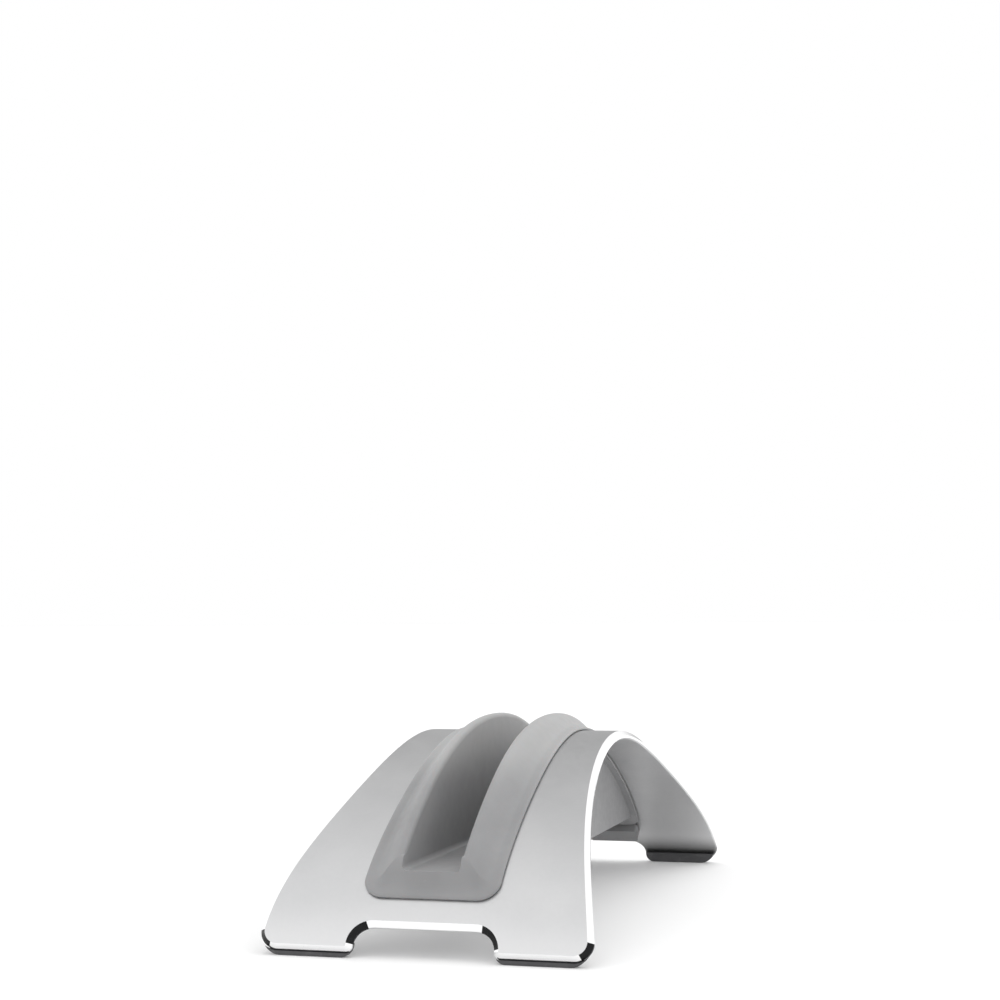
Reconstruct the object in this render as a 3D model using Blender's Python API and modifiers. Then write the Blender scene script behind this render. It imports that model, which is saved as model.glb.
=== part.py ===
"""Vertical laptop stand: a bent aluminium arch that holds a closed laptop on edge in a lift-out cradle.

Metres, +Z up. The arch runs along Y and the laptop stands in its middle plane, x = 0. The origin is on
the floor under the crown. The arch is the same front and rear, left and right.

The pieces that follow the arch are drawn flat and then bent. In the flat drawing x is the distance from
the middle plane, arc is the length along the arch's outer face from the crown towards a foot, and height
is the distance out from that face, so a negative height is inside the metal or under it.
"""

import bisect
import functools
import math
from collections import namedtuple

import bmesh
import bpy
from mathutils import Matrix, Vector

MM = 0.001
GAP = 0.3 * MM  # left between pieces that touch
NEAR = 0.01 * MM  # points this close to a face are on it

# The arch's profile: its slope, in radians, is a sum of odd powers of the arc length in SLOPE_LENGTHs.
CROWN_HEIGHT = 54 * MM
SLOPE_TERMS = (0.915, -0.856, 0.639)
SLOPE_LENGTH = 100 * MM
PROFILE_STEP = 0.25 * MM
LONGEST_ARC = 140 * MM
FACET_TURN = math.radians(2.6)
LONGEST_FACET = 5 * MM

# The arch's sheet. Heights with Z in their name are above the floor, on the outer face.
SHEET = 2.6 * MM
CROWN_HALF_WIDTH = 32.5 * MM
FOOT_HALF_WIDTH = 46.7 * MM
WIDTH_POWER = 2.25
FOOT_END_Z = 1.8 * MM
FOOT_OUTER_RADIUS = 5.2 * MM
FOOT_INNER_RADIUS = 1.8 * MM
NOTCH_HALF_WIDTH = 19.6 * MM
NOTCH_RADIUS = 5.5 * MM
NOTCH_TOP_Z = 8.5 * MM
SLOT_HALF_WIDTH = 15.8 * MM
SLOT_RADIUS = 1.5 * MM
SLOT_END_Z = 17.7 * MM
OUTER_CHAMFER = 1.5 * MM
INNER_CHAMFER = 0.4 * MM

# The laptop's groove in the cradle.
GROOVE_HALF_WIDTH = 8.2 * MM
GROOVE_FLOOR_Z = 22.2 * MM
GROOVE_ROOT_RADIUS = 1.5 * MM

# The soft liner: a saddle over the arch, with a lining down in the slot.
LIP_HALF_WIDTH = 19.2 * MM
LIP_END_Z = 15 * MM
LIP_CORNER_RADIUS = 6 * MM
LIP_THICKNESS = 1.1 * MM
LIP_ROUNDING = 1 * MM
SADDLE_FOOT = 2.2 * MM  # how far in from the lip's edge the saddle starts to rise
SADDLE_RISE = 4.3 * MM
SADDLE_SWELL = 0.5  # extra rise half way down each leg, as a share of SADDLE_RISE
SADDLE_STEPS = 6
SADDLE_TOP_INSET = LIP_HALF_WIDTH - GROOVE_HALF_WIDTH + 0.1 * MM
SMALLEST_RADIUS = 0.3 * MM
LINER_FLOOR = 1.6 * MM
LINER_WALL = 3.8 * MM

# The stiff core round the liner, and the tray that the core drops into.
CORE_FLOOR = 1.5 * MM
CORE_WALL = 2.9 * MM
TRAY_FLOOR = 1.2 * MM
TRAY_WALL = 1.2 * MM
FLANGE_THICKNESS = 1 * MM
FLANGE_HALF_WIDTH = 19 * MM
FLANGE_END_Z = 16.8 * MM
FLANGE_RADIUS = 3.6 * MM
CUTTER_REACH = 8 * MM

# Fasteners: M3 studs welded under the arch, with washers and hexagon nuts on the tray's four ears.
EAR_X = 20.6 * MM
EAR_ARC = 14 * MM
EAR_RADIUS = 4.2 * MM
STUD_RADIUS = 1.5 * MM
STUD_LENGTH = 5.6 * MM
STUD_CHAMFER = 0.4 * MM
STUD_HOLE_RADIUS = STUD_RADIUS + GAP
WASHER_RADIUS = 3.5 * MM
WASHER_THICKNESS = 0.5 * MM
NUT_ACROSS_FLATS = 5.5 * MM
NUT_THICKNESS = 2.4 * MM
ROUND_STEPS = 20

# The soft cable catch over the rear notch, pushed on two shorter studs.
CATCH_HALF_WIDTH = 18.2 * MM
CATCH_TOP_Z = 16.2 * MM
CATCH_LENGTH = 5.2 * MM
CATCH_THICKNESS = 3.6 * MM
CATCH_CORNER_RADIUS = 1.2 * MM
CATCH_STUD_X = 14.6 * MM
CATCH_STUD_LENGTH = 2.4 * MM
CATCH_BOW = 0.2 * MM  # the leg curves away from the straight catch at its two ends
CABLE_RADIUS = 1.7 * MM
CABLE_MOUTH_HALF_WIDTH = 1.2 * MM

# The rubber pads under the four feet: a sole and a thin heel, moulded round the sheet's edge.
PAD_INNER_X = NOTCH_HALF_WIDTH + 0.4 * MM
PAD_OUTER_X = 45.2 * MM
PAD_OUTER_INSET = 1.2 * MM
PAD_INNER_RADIUS = 2.8 * MM
PAD_OUTER_RADIUS = 5.2 * MM
HEEL_TOP_Z = 3.4 * MM
HEEL_THICKNESS = 1.2 * MM
HEEL_STEPS = 4

Station = namedtuple("Station", "arc y z out_y out_z")


def slope_at(arc):
    distance = arc / SLOPE_LENGTH
    return sum(term * distance ** (2 * i + 1) for i, term in enumerate(SLOPE_TERMS))


@functools.lru_cache(maxsize=None)
def station_at(arc):
    """The outer face's point at this arc length, and its outward direction."""
    steps = max(1, round(arc / PROFILE_STEP))
    length = arc / steps
    angles = [slope_at((i + 0.5) * length) for i in range(steps)]
    y = sum(math.cos(angle) for angle in angles) * length
    z = CROWN_HEIGHT - sum(math.sin(angle) for angle in angles) * length
    return Station(arc, y, z, math.sin(slope_at(arc)), math.cos(slope_at(arc)))


def offset_point(station, height):
    return station.y + height * station.out_y, station.z + height * station.out_z


def arc_at_z(z, height=0.0):
    """The arc length at which the curve at this height from the outer face is z above the floor."""
    low, high = 0.0, LONGEST_ARC
    for _ in range(40):
        middle = (low + high) / 2
        if offset_point(station_at(middle), height)[1] > z:
            low = middle
        else:
            high = middle
    return round(high, 7)


FOOT_ARC = arc_at_z(FOOT_END_Z)
NOTCH_ARC = arc_at_z(NOTCH_TOP_Z)
SLOT_ARC = arc_at_z(SLOT_END_Z)
LIP_ARC = arc_at_z(LIP_END_Z)
FLANGE_ARC = arc_at_z(FLANGE_END_Z)
CATCH_ARC = arc_at_z(CATCH_TOP_Z)


def facet_arcs():
    """Where the bent pieces are creased: close together where the profile turns fast."""
    arcs = [0.0]
    while arcs[-1] < FOOT_ARC:
        turn = slope_at(arcs[-1] + LONGEST_FACET) - slope_at(arcs[-1])
        step = min(LONGEST_FACET, LONGEST_FACET * FACET_TURN / turn)
        arcs.append(arcs[-1] + step)
    arcs[-1] = FOOT_ARC
    return arcs


STATIONS = [station_at(arc) for arc in facet_arcs()]
STATION_ARCS = [station.arc for station in STATIONS]


def bend(x, arc, height):
    """A point of the flat drawing, moved to its place on the creased arch."""
    index = min(bisect.bisect_right(STATION_ARCS, arc), len(STATIONS) - 1)
    low, high = STATIONS[index - 1], STATIONS[index]
    share = (arc - low.arc) / (high.arc - low.arc)
    start = Vector((x, *offset_point(low, height)))
    return start.lerp(Vector((x, *offset_point(high, height))), share)


def half_width(arc):
    reach = station_at(arc).y / station_at(FOOT_ARC).y
    return CROWN_HALF_WIDTH + (FOOT_HALF_WIDTH - CROWN_HALF_WIDTH) * reach**WIDTH_POWER


def round_corner(x, arc, radius, start, end, steps=6):
    """Points of a circular arc round (x, arc), between two angles in degrees."""
    turns = [math.radians(start + (end - start) * i / steps) for i in range(steps + 1)]
    return [(x + radius * math.cos(a), arc + radius * math.sin(a)) for a in turns]


def arch_outline(inset):
    """A quarter of the arch's flat outline, anticlockwise from the slot's edge at the crown."""
    end = FOOT_ARC - inset
    outer = FOOT_OUTER_RADIUS - inset
    inner = FOOT_INNER_RADIUS - inset
    points = [(SLOT_HALF_WIDTH + inset, 0.0)]
    points += [(half_width(arc) - inset, arc) for arc in STATION_ARCS if arc < end - outer - 0.5 * MM]
    points += round_corner(half_width(end - outer) - inset - outer, end - outer, outer, 0, 90)
    points += round_corner(NOTCH_HALF_WIDTH + inset + inner, end - inner, inner, 90, 180, 3)
    notch_x = NOTCH_HALF_WIDTH - NOTCH_RADIUS
    points += round_corner(notch_x, NOTCH_ARC + NOTCH_RADIUS, NOTCH_RADIUS + inset, 0, -90, 8)
    points += [(0.0, NOTCH_ARC - inset), (0.0, SLOT_ARC + inset)]
    slot_x = SLOT_HALF_WIDTH - SLOT_RADIUS
    points += round_corner(slot_x, SLOT_ARC - SLOT_RADIUS, SLOT_RADIUS + inset, 90, 0, 3)
    return points


def lip_outline(inset):
    """A quarter of the liner's flat outline."""
    radius = max(LIP_CORNER_RADIUS - inset, SMALLEST_RADIUS)
    x = LIP_HALF_WIDTH - inset - radius
    arc = LIP_ARC - inset - radius
    return [(0.0, 0.0), (x + radius, 0.0)] + round_corner(x, arc, radius, 0, 90, 5) + [(0.0, arc + radius)]


def flange_outline(inset):
    """A quarter of the tray's flange, with the ear for one fastener."""
    x = FLANGE_HALF_WIDTH - inset
    ear = round_corner(EAR_X, EAR_ARC, EAR_RADIUS - inset, -90, 90, 8)
    corner = round_corner(x - FLANGE_RADIUS, FLANGE_ARC - inset - FLANGE_RADIUS, FLANGE_RADIUS, 0, 90, 4)
    points = [(0.0, 0.0), (x, 0.0), (x, ear[0][1])] + ear + [(x, ear[-1][1])] + corner
    return points + [(0.0, FLANGE_ARC - inset)]


def saddle_levels():
    """The liner's stepped section, from its top at the groove out and down to the lip, then underneath."""
    levels = []
    for step in range(SADDLE_STEPS + 1):
        share = 1 - step / SADDLE_STEPS
        inset = SADDLE_FOOT + (SADDLE_TOP_INSET - SADDLE_FOOT) * share
        levels.append((inset, LIP_THICKNESS + SADDLE_RISE * (1 - math.cos(math.pi * share)) / 2))
    levels += [(LIP_ROUNDING, LIP_THICKNESS), (0.3 * LIP_ROUNDING, 0.85 * LIP_THICKNESS)]
    levels += [(0.0, 0.6 * LIP_THICKNESS), (0.2 * LIP_ROUNDING, GAP)]
    return levels


def swell(height, arc):
    """The saddle stands higher half way down each leg than at the crown and at its ends."""
    if height <= LIP_THICKNESS:
        return height
    share = math.sin(math.pi * arc / LIP_ARC) ** 2
    return LIP_THICKNESS + (height - LIP_THICKNESS) * (1 + SADDLE_SWELL * share)


def clear_scene():
    for old in list(bpy.data.objects):
        bpy.data.objects.remove(old, do_unlink=True)
    for name in ("laptop_stand", "cutters"):
        bpy.context.scene.collection.children.link(bpy.data.collections.new(name))


def material(name, colour, roughness, metallic=0.0):
    made = bpy.data.materials.new(name)
    made.use_nodes = True
    shader = made.node_tree.nodes["Principled BSDF"]
    shader.inputs["Base Color"].default_value = (*colour, 1.0)
    shader.inputs["Roughness"].default_value = roughness
    shader.inputs["Metallic"].default_value = metallic
    return made


def add_object(name, mesh, finish):
    mesh.materials.append(finish)
    mesh.shade_smooth()
    mesh.set_sharp_from_angle(angle=math.radians(30))
    made = bpy.data.objects.new(name, mesh)
    bpy.data.collections["laptop_stand"].objects.link(made)
    return made


def add_cutter(name, mesh):
    made = bpy.data.objects.new(name, mesh)
    made.hide_render = True
    made.display_type = "WIRE"
    bpy.data.collections["cutters"].objects.link(made)
    return made


def mesh_from(bm, name):
    mesh = bpy.data.meshes.new(name)
    bm.to_mesh(mesh)
    bm.free()
    return mesh


def boolean(target, operation, other):
    modifier = target.modifiers.new(f"{operation.lower()}_{other.name}", "BOOLEAN")
    modifier.operation = operation
    modifier.object = other
    modifier.solver = "EXACT"


def mirror_to_all_quarters(target):
    modifier = target.modifiers.new("mirror", "MIRROR")
    modifier.use_axis = (True, True, False)
    modifier.merge_threshold = NEAR


def on_mirror_plane(a, b):
    return max(abs(a.co.x), abs(b.co.x)) < 1e-9 or max(abs(a.co.y), abs(b.co.y)) < 1e-9


def bent_quarter(name, outline, levels, height_law=lambda height, arc: height):
    """A quarter of a bent plate, open at the two mirror planes.

    outline(inset) is its flat outline, and levels are (inset, height) pairs from its top face down.
    """
    bm = bmesh.new()
    rings = [[bm.verts.new((x, arc, height)) for x, arc in outline(inset)] for inset, height in levels]
    bm.faces.new(rings[0])
    bm.faces.new(reversed(rings[-1]))
    for upper, lower in zip(rings, rings[1:]):
        for i in range(len(upper)):
            j = (i + 1) % len(upper)
            if not on_mirror_plane(upper[i], upper[j]):
                bm.faces.new((lower[i], lower[j], upper[j], upper[i]))
    for arc in STATION_ARCS[1:-1]:
        everything = bm.verts[:] + bm.edges[:] + bm.faces[:]
        bmesh.ops.bisect_plane(bm, geom=everything, dist=1e-6, plane_co=(0, arc, 0), plane_no=(0, 1, 0))
    for vert in bm.verts:
        x, arc, height = vert.co
        vert.co = bend(x, arc, height_law(height, arc))
    return mesh_from(bm, name)


def dome_profile(height, floor_z):
    """The YZ outline of the space between a level floor and the curve at this height from the outer face."""
    half = []
    for low, high in zip(STATIONS, STATIONS[1:]):
        (low_y, low_z), (high_y, high_z) = offset_point(low, height), offset_point(high, height)
        half.append((low_y, low_z))
        if high_z <= floor_z:
            share = (low_z - floor_z) / (low_z - high_z)
            half.append((low_y + (high_y - low_y) * share, floor_z))
            break
    return [(-y, z) for y, z in reversed(half[1:])] + half


def prism(name, profile, start_x, end_x):
    """A YZ outline pushed along X."""
    bm = bmesh.new()
    face = bm.faces.new([bm.verts.new((start_x, y, z)) for y, z in profile])
    pushed = bmesh.ops.extrude_face_region(bm, geom=[face])["geom"]
    moved = [item for item in pushed if isinstance(item, bmesh.types.BMVert)]
    bmesh.ops.translate(bm, verts=moved, vec=(end_x - start_x, 0, 0))
    bmesh.ops.recalc_face_normals(bm, faces=bm.faces[:])
    return mesh_from(bm, name)


def round_edges(mesh, radius, segments, chosen):
    """Rounds the edges whose two ends both pass the chosen test."""
    bm = bmesh.new()
    bm.from_mesh(mesh)
    edges = [edge for edge in bm.edges if all(chosen(vert.co) for vert in edge.verts)]
    bmesh.ops.bevel(bm, geom=edges, offset=radius, segments=segments, profile=0.5, affect="EDGES")
    bm.to_mesh(mesh)
    bm.free()
    return mesh


def flat_plate(name, outlines, thickness):
    """Closed outlines filled and given a thickness about z = 0. An outline inside another is a hole."""
    curve = bpy.data.curves.new(name, "CURVE")
    curve.dimensions = "2D"
    curve.fill_mode = "BOTH"
    curve.extrude = thickness / 2
    for outline in outlines:
        spline = curve.splines.new("POLY")
        spline.points.add(len(outline) - 1)
        for point, (x, y) in zip(spline.points, outline):
            point.co = (x, y, 0, 1)
        spline.use_cyclic_u = True
    drawn = bpy.data.objects.new(name, curve)
    bpy.context.scene.collection.objects.link(drawn)
    evaluated = drawn.evaluated_get(bpy.context.evaluated_depsgraph_get())
    mesh = bpy.data.meshes.new_from_object(evaluated)
    bpy.data.objects.remove(drawn)
    bpy.data.curves.remove(curve)
    bm = bmesh.new()
    bm.from_mesh(mesh)
    bmesh.ops.remove_doubles(bm, verts=bm.verts[:], dist=0.001 * MM)
    bmesh.ops.recalc_face_normals(bm, faces=bm.faces[:])
    bm.to_mesh(mesh)
    bm.free()
    return mesh


def circle(radius, steps=ROUND_STEPS, x=0.0, y=0.0):
    return round_corner(x, y, radius, 0, 360 * (1 - 1 / steps), steps - 1)


def face_frame(x, arc, side, height):
    """Axes on the arch: X across, Y down the leg, Z out of the face. side is 1 at the rear, -1 in front."""
    station = station_at(arc)
    y, z = offset_point(station, height)
    out = Vector((0, side * station.out_y, station.out_z))
    down = Vector((0, side * station.out_z, -station.out_y))
    across = down.cross(out)
    turned = Matrix((across, down, out)).transposed().to_4x4()
    return Matrix.Translation((x, side * y, z)) @ turned


def ear_places():
    return [(x, EAR_ARC, side) for x in (-EAR_X, EAR_X) for side in (-1, 1)]


def catch_stud_arc():
    return CATCH_ARC + CATCH_LENGTH / 2


def place_copies(name, mesh, places, height, finish, first=1):
    """One object at each (x, arc, side), all with the same mesh, its origin at this height from the face."""
    mesh.materials.append(finish)
    for number, (x, arc, side) in enumerate(places, first):
        copy = bpy.data.objects.new(f"{name}_{number}", mesh)
        copy.matrix_world = face_frame(x, arc, side, height)
        bpy.data.collections["laptop_stand"].objects.link(copy)


def make_arch_shell(finish):
    levels = [
        (OUTER_CHAMFER, 0.0),
        (0.0, -OUTER_CHAMFER),
        (0.0, INNER_CHAMFER - SHEET),
        (INNER_CHAMFER, -SHEET),
    ]
    arch = add_object("arch_shell", bent_quarter("arch_shell", arch_outline, levels), finish)
    mirror_to_all_quarters(arch)


def make_liner(finish):
    lining = GROOVE_HALF_WIDTH + LINER_WALL
    liner = add_object("insert_liner", bent_quarter("liner", lip_outline, saddle_levels(), swell), finish)
    mirror_to_all_quarters(liner)
    profile = dome_profile(LIP_THICKNESS * 0.7, GROOVE_FLOOR_Z - LINER_FLOOR)
    boolean(liner, "UNION", add_cutter("lining", prism("lining", profile, -lining, lining)))
    reach = FOOT_HALF_WIDTH * 3
    top_z = CROWN_HEIGHT * 2
    box = [(-reach, GROOVE_FLOOR_Z), (reach, GROOVE_FLOOR_Z), (reach, top_z), (-reach, top_z)]
    groove = prism("groove", box, -GROOVE_HALF_WIDTH, GROOVE_HALF_WIDTH)
    groove = round_edges(
        groove,
        GROOVE_ROOT_RADIUS,
        2,
        lambda co: co.z < GROOVE_FLOOR_Z + NEAR,
    )
    boolean(liner, "DIFFERENCE", add_cutter("groove", groove))


def make_core(finish):
    liner_bottom = GROOVE_FLOOR_Z - LINER_FLOOR
    inside = GROOVE_HALF_WIDTH + LINER_WALL + GAP
    outside = inside + CORE_WALL
    floor = liner_bottom - GAP
    body = prism("insert_core", dome_profile(-0.2 * MM, floor - CORE_FLOOR), -outside, outside)
    core = add_object("insert_core", body, finish)
    hollow = prism("core_hollow", dome_profile(CUTTER_REACH, floor), -inside, inside)
    boolean(core, "DIFFERENCE", add_cutter("core_hollow", hollow))


def make_tray(finish):
    inside = GROOVE_HALF_WIDTH + LINER_WALL + CORE_WALL + 2 * GAP
    outside = inside + TRAY_WALL
    floor = GROOVE_FLOOR_Z - LINER_FLOOR - CORE_FLOOR - 2 * GAP
    top = -SHEET - GAP
    levels = [(0.0, top), (0.0, top - FLANGE_THICKNESS)]
    tray = add_object("cradle_tray", bent_quarter("tray", flange_outline, levels), finish)
    mirror_to_all_quarters(tray)
    trough = prism("trough", dome_profile(top - FLANGE_THICKNESS / 2, floor - TRAY_FLOOR), -outside, outside)
    boolean(tray, "UNION", add_cutter("trough", trough))
    hollow = prism("tray_hollow", dome_profile(CUTTER_REACH, floor), -inside, inside)
    boolean(tray, "DIFFERENCE", add_cutter("tray_hollow", hollow))
    drill = flat_plate("drill", [circle(STUD_HOLE_RADIUS)], CUTTER_REACH)
    for number, (x, arc, side) in enumerate(ear_places(), 1):
        hole = add_cutter(f"ear_hole_{number}", drill)
        hole.matrix_world = face_frame(x, arc, side, top)
        boolean(tray, "DIFFERENCE", hole)


def stud_mesh(length):
    bm = bmesh.new()
    bmesh.ops.create_cone(
        bm,
        cap_ends=True,
        segments=ROUND_STEPS,
        radius1=STUD_RADIUS,
        radius2=STUD_RADIUS,
        depth=length,
    )
    return round_edges(mesh_from(bm, "stud"), STUD_CHAMFER, 1, lambda co: co.z < 0)


def make_fasteners(finish):
    ear_underside = -SHEET - FLANGE_THICKNESS - GAP
    stud_top = -SHEET - GAP
    stud = stud_mesh(STUD_LENGTH)
    place_copies("weld_stud", stud, ear_places(), stud_top - STUD_LENGTH / 2, finish)
    catch_places = [(x, catch_stud_arc(), 1) for x in (-CATCH_STUD_X, CATCH_STUD_X)]
    short_stud = stud_mesh(CATCH_STUD_LENGTH)
    place_copies("weld_stud", short_stud, catch_places, stud_top - CATCH_STUD_LENGTH / 2, finish, first=5)
    washer = flat_plate("washer", [circle(WASHER_RADIUS), circle(STUD_HOLE_RADIUS)], WASHER_THICKNESS)
    washer_middle = ear_underside - GAP - WASHER_THICKNESS / 2
    place_copies("tray_washer", washer, ear_places(), washer_middle, finish)
    corner = NUT_ACROSS_FLATS / 2 / math.cos(math.radians(30))
    nut = flat_plate("nut", [circle(corner, 6), circle(STUD_HOLE_RADIUS)], NUT_THICKNESS)
    nut_middle = washer_middle - WASHER_THICKNESS / 2 - GAP - NUT_THICKNESS / 2
    place_copies("tray_nut", nut, ear_places(), nut_middle, finish)


def cable_channel():
    """A round seat for one cable and its narrower mouth, down through the catch's lower edge."""
    lower = CATCH_LENGTH / 2
    seat_y = lower - CABLE_RADIUS - 0.8 * MM
    mouth = math.degrees(math.asin(CABLE_MOUTH_HALF_WIDTH / CABLE_RADIUS))
    seat = round_corner(0, seat_y, CABLE_RADIUS, 90 - mouth, -270 + mouth, 10)
    return [(CABLE_MOUTH_HALF_WIDTH, lower)] + seat + [(-CABLE_MOUTH_HALF_WIDTH, lower)]


def make_cable_catch(finish):
    x = CATCH_HALF_WIDTH - CATCH_CORNER_RADIUS
    y = CATCH_LENGTH / 2 - CATCH_CORNER_RADIUS
    radius = CATCH_CORNER_RADIUS
    outline = round_corner(-x, -y, radius, 180, 270, 3) + round_corner(x, -y, radius, 270, 360, 3)
    outline += round_corner(x, y, radius, 0, 90, 3)
    outline += cable_channel()
    outline += round_corner(-x, y, radius, 90, 180, 3)
    plate = flat_plate("cable_catch", [outline], CATCH_THICKNESS)
    catch = add_object("cable_catch", plate, finish)
    top = -SHEET - GAP - CATCH_BOW
    catch.matrix_world = face_frame(0, catch_stud_arc(), 1, top - CATCH_THICKNESS / 2)
    drill = flat_plate("catch_drill", [circle(STUD_HOLE_RADIUS)], 2 * (CATCH_STUD_LENGTH - CATCH_BOW + GAP))
    for number, stud in enumerate((-CATCH_STUD_X, CATCH_STUD_X), 1):
        hole = add_cutter(f"catch_hole_{number}", drill)
        hole.matrix_world = face_frame(stud, catch_stud_arc(), 1, top)
        boolean(catch, "DIFFERENCE", hole)


def pad_profile():
    """The YZ outline of a rear pad before the sheet's space is cut from it."""
    outer_y = station_at(FOOT_ARC).y - PAD_OUTER_INSET
    behind = -SHEET - GAP - HEEL_THICKNESS
    high, low = arc_at_z(HEEL_TOP_Z, behind), arc_at_z(0.0, behind)
    arcs = [high + (low - high) * i / HEEL_STEPS for i in range(HEEL_STEPS + 1)]
    back = [offset_point(station_at(arc), behind) for arc in arcs]
    back[-1] = (back[-1][0], 0.0)
    return [(outer_y, 0.0), (outer_y, HEEL_TOP_Z)] + back


def pad_front():
    """The XZ outline of a right pad, with its two lower corners rounded."""
    inner, outer = PAD_INNER_RADIUS, PAD_OUTER_RADIUS
    points = round_corner(PAD_INNER_X + inner, inner, inner, 180, 270, 4)
    points += round_corner(PAD_OUTER_X - outer, outer, outer, 270, 360, 6)
    top = HEEL_TOP_Z * 2
    return points + [(PAD_OUTER_X, top), (PAD_INNER_X, top)]


def baked(target):
    """The object's mesh as its modifiers leave it. The object is removed."""
    evaluated = target.evaluated_get(bpy.context.evaluated_depsgraph_get())
    mesh = bpy.data.meshes.new_from_object(evaluated)
    bpy.data.objects.remove(target)
    return mesh


def make_foot_pads(finish):
    foot_y = station_at(FOOT_ARC).y
    reach = 20 * MM
    mesh = prism("foot_pad", pad_profile(), PAD_INNER_X - reach, PAD_OUTER_X + reach)
    block = add_object("foot_pad", mesh, finish)
    front = prism("pad_front", pad_front(), -foot_y - reach, -foot_y + reach)
    front.transform(Matrix.Rotation(math.radians(-90), 4, "Z"))
    boolean(block, "INTERSECT", add_cutter("pad_front", front))
    sheet_levels = [(0.0, 2 * MM), (0.0, -SHEET - GAP)]
    space = bent_quarter("sheet_space", lambda inset: arch_outline(inset - GAP), sheet_levels)
    space = add_cutter("sheet_space", space)
    mirror_to_all_quarters(space)
    boolean(block, "DIFFERENCE", space)
    mesh = baked(block)
    for end, side_y in (("front", -1), ("rear", 1)):
        for hand, side_x in (("left", -1), ("right", 1)):
            pad = bpy.data.objects.new(f"foot_pad_{end}_{hand}", mesh)
            pad.scale = (side_x, side_y, 1)
            bpy.data.collections["laptop_stand"].objects.link(pad)


def main():
    clear_scene()
    aluminium = material("satin_aluminium", (0.80, 0.80, 0.81), 0.38, 1.0)
    silicone = material("grey_silicone", (0.36, 0.36, 0.37), 0.55)
    plastic = material("grey_plastic", (0.30, 0.30, 0.31), 0.45)
    steel = material("zinc_steel", (0.62, 0.62, 0.60), 0.35, 1.0)
    rubber = material("dark_rubber", (0.09, 0.09, 0.095), 0.7)
    make_arch_shell(aluminium)
    make_tray(plastic)
    make_fasteners(steel)
    make_core(plastic)
    make_liner(silicone)
    make_cable_catch(silicone)
    make_foot_pads(rubber)


main()
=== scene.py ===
"""Looks of the vertical laptop stand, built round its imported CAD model. Metres, +Z up."""

import bisect
import functools
import math
from collections import namedtuple

import bmesh
import bpy
from mathutils import Matrix, Vector


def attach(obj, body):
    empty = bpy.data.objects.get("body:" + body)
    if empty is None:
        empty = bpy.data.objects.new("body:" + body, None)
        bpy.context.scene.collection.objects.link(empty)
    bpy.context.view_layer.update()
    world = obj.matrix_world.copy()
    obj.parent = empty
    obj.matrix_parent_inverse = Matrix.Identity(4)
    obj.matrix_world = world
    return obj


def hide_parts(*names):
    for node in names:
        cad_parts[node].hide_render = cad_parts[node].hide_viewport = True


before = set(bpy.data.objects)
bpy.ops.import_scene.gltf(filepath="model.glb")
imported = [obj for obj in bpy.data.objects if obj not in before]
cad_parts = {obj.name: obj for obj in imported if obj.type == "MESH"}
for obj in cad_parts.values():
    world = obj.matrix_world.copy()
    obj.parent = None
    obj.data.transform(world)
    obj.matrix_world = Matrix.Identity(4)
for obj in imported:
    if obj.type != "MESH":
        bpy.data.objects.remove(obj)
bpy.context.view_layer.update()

MM = 0.001
GAP = 0.3 * MM  # left between pieces that touch, as in the CAD
MARGIN = 0.03 * MM  # how far the finer outlines stay inside the CAD's
NEAR = 0.01 * MM  # points this close to a face are on it
SAME_POINT = 0.001 * MM

# The arch's profile: its slope, in radians, is a sum of odd powers of the arc length in SLOPE_LENGTHs.
CROWN_HEIGHT = 54 * MM
SLOPE_TERMS = (0.915, -0.856, 0.639)
SLOPE_LENGTH = 100 * MM
PROFILE_STEP = 0.25 * MM
LONGEST_ARC = 140 * MM
HALVINGS = 40
FACET_TURN = math.radians(0.75)
LONGEST_FACET = 1.8 * MM

# The arch's sheet. Heights with Z in their name are above the floor, on the outer face.
SHEET = 2.6 * MM
CROWN_HALF_WIDTH = 32.5 * MM
FOOT_HALF_WIDTH = 46.7 * MM
WIDTH_POWER = 2.25
FOOT_END_Z = 1.8 * MM
FOOT_OUTER_RADIUS = 5.2 * MM
FOOT_INNER_RADIUS = 1.8 * MM
NOTCH_HALF_WIDTH = 19.6 * MM
NOTCH_RADIUS = 5.5 * MM
NOTCH_TOP_Z = 8.5 * MM
SLOT_HALF_WIDTH = 15.8 * MM
SLOT_RADIUS = 1.5 * MM
SLOT_END_Z = 17.7 * MM
OUTER_CHAMFER = 1.5 * MM
INNER_CHAMFER = 0.4 * MM
CORNER_SPACE = 0.1 * MM  # between a foot's rounded corner and the last point of its side

# The part of each rounded corner, in degrees from the side, where the cut rim carries a painted dark
# reflection.
FOOT_PAINTED_REFLECTION = (0, 62)
NOTCH_PAINTED_REFLECTION = (4, 72)

# The soft liner: a saddle over the arch, with a lining down in the slot.
GROOVE_HALF_WIDTH = 8.2 * MM
GROOVE_FLOOR_Z = 22.2 * MM
GROOVE_ROOT_RADIUS = 1.5 * MM
LIP_HALF_WIDTH = 19.2 * MM
LIP_END_Z = 15 * MM
LIP_CORNER_RADIUS = 6 * MM
LIP_THICKNESS = 1.1 * MM
LIP_GAP = 0.1 * MM
LIP_ROUNDING = 1 * MM
SADDLE_FOOT = 2.2 * MM  # how far in from the lip's edge the saddle starts to rise
SADDLE_RISE = 4.3 * MM
SADDLE_SWELL = 0.5  # extra rise half way down each leg, as a share of SADDLE_RISE
SADDLE_STEPS = 16
RIM_RADIUS = 1.2 * MM
RIM_REACH = 0.1 * MM  # how far the saddle runs into the groove before the groove is cut
RIM_TURNS = (88, 75, 60, 45, 30, 15)  # degrees round the groove's rim
LIP_TURNS = (90, 70, 50, 30, 10, -10, -30, -50, -70, -90)  # degrees round the lip's edge
LINING_OVERLAP = 0.7  # how far up into the lip the lining goes, as a share of its thickness
SMALLEST_RADIUS = 0.3 * MM
LINER_FLOOR = 1.6 * MM
LINER_WALL = 3.8 * MM

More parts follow.
